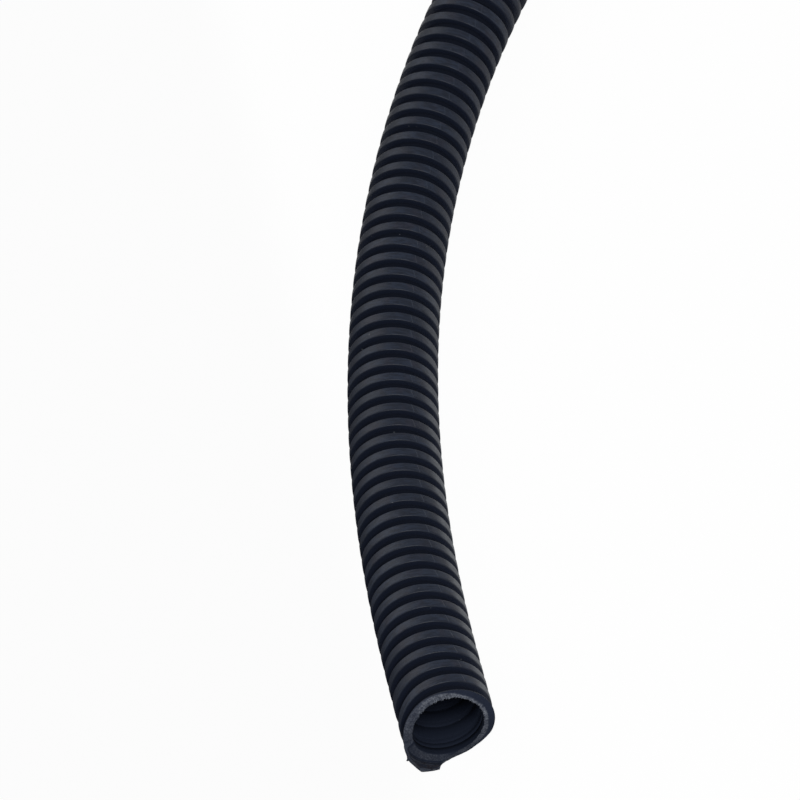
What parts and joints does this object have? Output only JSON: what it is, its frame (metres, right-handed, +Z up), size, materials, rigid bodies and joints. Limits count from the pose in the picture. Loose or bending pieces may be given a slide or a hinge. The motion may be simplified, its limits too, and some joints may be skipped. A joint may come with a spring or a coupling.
{
  "type": "corrugated conduit",
  "caption": "One-metre length of black corrugated plastic conduit in a loose curve, with open ends, that guides and guards cables.",
  "frame": {"origin": "on the floor, under the middle of the curve's bounding box", "axes": "+Z is up from the floor that the conduit lies on; the near mouth faces -Y and the far mouth faces -X"},
  "size_m": [0.4187, 0.4136, 0.0158],
  "materials": {
    "conduit": "matte"
  },
  "bodies": {
    "root": {"conduit": "conduit"}
  },
  "joints": []
}
